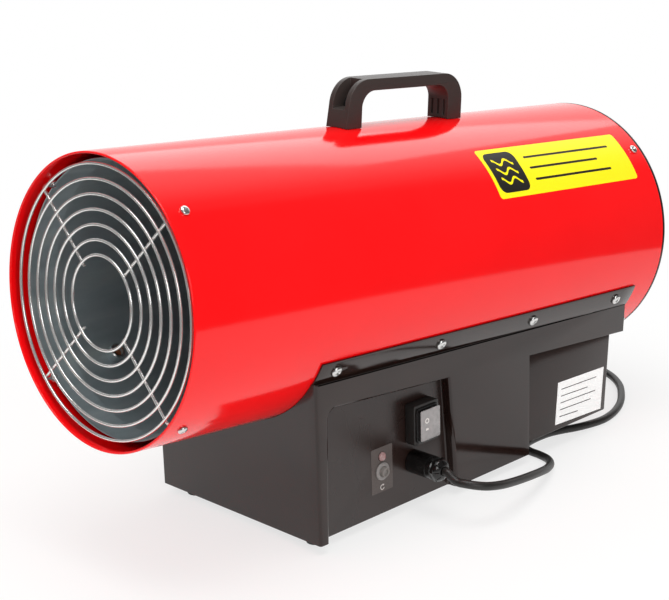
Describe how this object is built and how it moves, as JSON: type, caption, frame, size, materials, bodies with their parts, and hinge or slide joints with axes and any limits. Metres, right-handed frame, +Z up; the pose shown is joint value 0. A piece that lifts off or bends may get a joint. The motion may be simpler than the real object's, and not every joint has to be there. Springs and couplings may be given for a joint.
{
  "type": "forced air heater",
  "caption": "Portable gas forced air heater: round casing leaning back on a folded base, wire guards, carrying handle, fan, burner and a control recess with a mains lead.",
  "frame": {"origin": "on the floor, under the middle of the heater without its lead", "axes": "+Z up, +Y from the outlet towards the fan intake, +X towards the side with the controls"},
  "size_m": [0.2771, 0.6337, 0.3387],
  "materials": {
    "red_paint": "gloss red powder coat on rolled steel sheet",
    "black_paint": "gloss warm black powder coat on folded steel sheet",
    "black_plastic": "black moulded plastic, fine grain",
    "zinc_steel": "zinc coated steel sheet",
    "bright_wire": "bright nickel plated wire",
    "black_wire": "black powder coated wire and band",
    "plain_steel": "bright zinc plated steel",
    "heat_steel": "heat tinted stainless steel",
    "aluminium": "pressed aluminium sheet, plain",
    "brass": "machined brass",
    "copper": "drawn copper tube",
    "ceramic": "glazed white ceramic with a steel rod",
    "white_plastic": "off-white moulded plastic",
    "rubber": "black rubber, matt",
    "clear_rubber": "clear soft vinyl, slightly hazy",
    "lamp_lens": "pale red translucent lens",
    "lead": "black rubber sheath, satin"
  },
  "bodies": {
    "heater": {"casing_shell": "red_paint", "base_shell": "black_paint", "bottom_plate": "black_paint", "rear_box": "black_paint", "control_plate": "black_paint", "carry_handle": "black_plastic", "control_unit": "black_plastic", "switch_body": "black_plastic", "reset_bush": "black_plastic", "cable_gland": "black_plastic", "gland_nut": "black_plastic", "mains_plug": "black_plastic", "combustion_drum": "zinc_steel", "burner_bar": "zinc_steel", "motor_bracket": "zinc_steel", "front_grille": "bright_wire", "rear_guard": "black_wire", "fan_motor": "plain_steel", "handle_bolt_1": "plain_steel", "handle_bolt_2": "plain_steel", "front_screw_1": "plain_steel", "front_screw_2": "plain_steel", "front_screw_3": "plain_steel", "front_screw_4": "plain_steel", "rear_screw_1": "plain_steel", "rear_screw_2": "plain_steel", "rear_screw_3": "plain_steel", "rear_screw_4": "plain_steel", "flange_screw_left_1": "plain_steel", "flange_screw_left_2": "plain_steel", "flange_screw_left_3": "plain_steel", "flange_screw_left_4": "plain_steel", "flange_screw_right_1": "plain_steel", "flange_screw_right_2": "plain_steel", "flange_screw_right_3": "plain_steel", "flange_screw_right_4": "plain_steel", "burner_cup": "heat_steel", "flame_disc": "heat_steel", "gas_nozzle": "brass", "gas_inlet": "brass", "solenoid_valve": "brass", "gas_feed": "copper", "gas_pipe": "copper", "igniter": "ceramic", "flame_sensor": "ceramic", "foot_left_1": "rubber", "foot_left_2": "rubber", "foot_right_1": "rubber", "foot_right_2": "rubber", "cord_tie": "rubber", "switch_boot": "clear_rubber", "indicator_lamp": "lamp_lens", "power_cord": "lead", "cord_coil": "lead"},
    "fan": {"fan": "aluminium", "motor_shaft": "plain_steel"},
    "rocker": {"switch_rocker": "black_plastic"},
    "reset": {"reset_button": "white_plastic"}
  },
  "joints": [
    {"name": "fan_spin", "type": "hinge", "parent": "heater", "child": "fan", "pos_m": [0, 0.1296, 0.17879], "axis": [0, 0.9965, -0.0837], "continuous": true},
    {"name": "rocker_tilt", "type": "hinge", "parent": "heater", "child": "rocker", "pos_m": [0.0925, -0.03028, 0.076], "axis": [0, -1, 0], "range_deg": [0, 14]},
    {"name": "reset_press", "type": "slide", "parent": "heater", "child": "reset", "axis": [-1, 0, 0], "range_m": [0, 0.003], "stiffness_N_per_m": 300}
  ]
}
